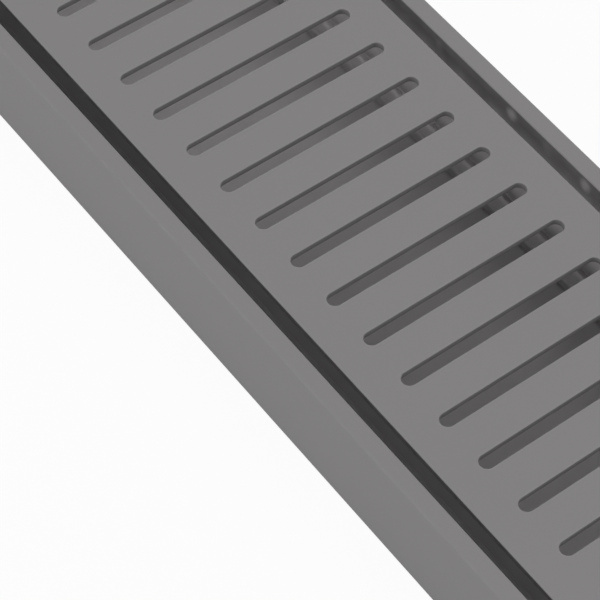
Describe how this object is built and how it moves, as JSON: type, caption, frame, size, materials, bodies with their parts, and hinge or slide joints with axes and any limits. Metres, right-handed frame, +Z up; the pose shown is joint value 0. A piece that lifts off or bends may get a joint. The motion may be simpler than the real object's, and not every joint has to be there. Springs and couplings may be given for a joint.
{
  "type": "channel drain",
  "caption": "Shallow linear floor drain: a hollow-walled trough with a flat rim, capped ends and a round floor outlet, and a slotted grate set flush in it with an open gap all round.",
  "frame": {"origin": "middle of the flat underside of the drain", "axes": "+X along the drain, towards the end with the outlet; +Y across it; +Z up, out of the grate's top face"},
  "size_m": [0.6, 0.1, 0.029],
  "materials": {
    "powder_coat": "matte gunmetal grey powder coat",
    "bare_aluminium": "mill finish",
    "stainless": "plain stainless",
    "rubber": "black synthetic rubber"
  },
  "bodies": {
    "root": {"trough": "powder_coat", "grate": "powder_coat", "end_cap_left": "powder_coat", "end_cap_right": "powder_coat", "end_gasket_left": "rubber", "end_gasket_right": "rubber", "end_cap_screws": "stainless", "grate_bearer_1": "bare_aluminium", "grate_bearer_2": "bare_aluminium", "grate_bearer_3": "bare_aluminium", "grate_bearer_4": "bare_aluminium", "bearer_boot_1": "rubber", "bearer_boot_2": "rubber", "bearer_boot_3": "rubber", "bearer_boot_4": "rubber", "bearer_boot_5": "rubber", "bearer_boot_6": "rubber", "bearer_boot_7": "rubber", "bearer_boot_8": "rubber"}
  },
  "joints": []
}
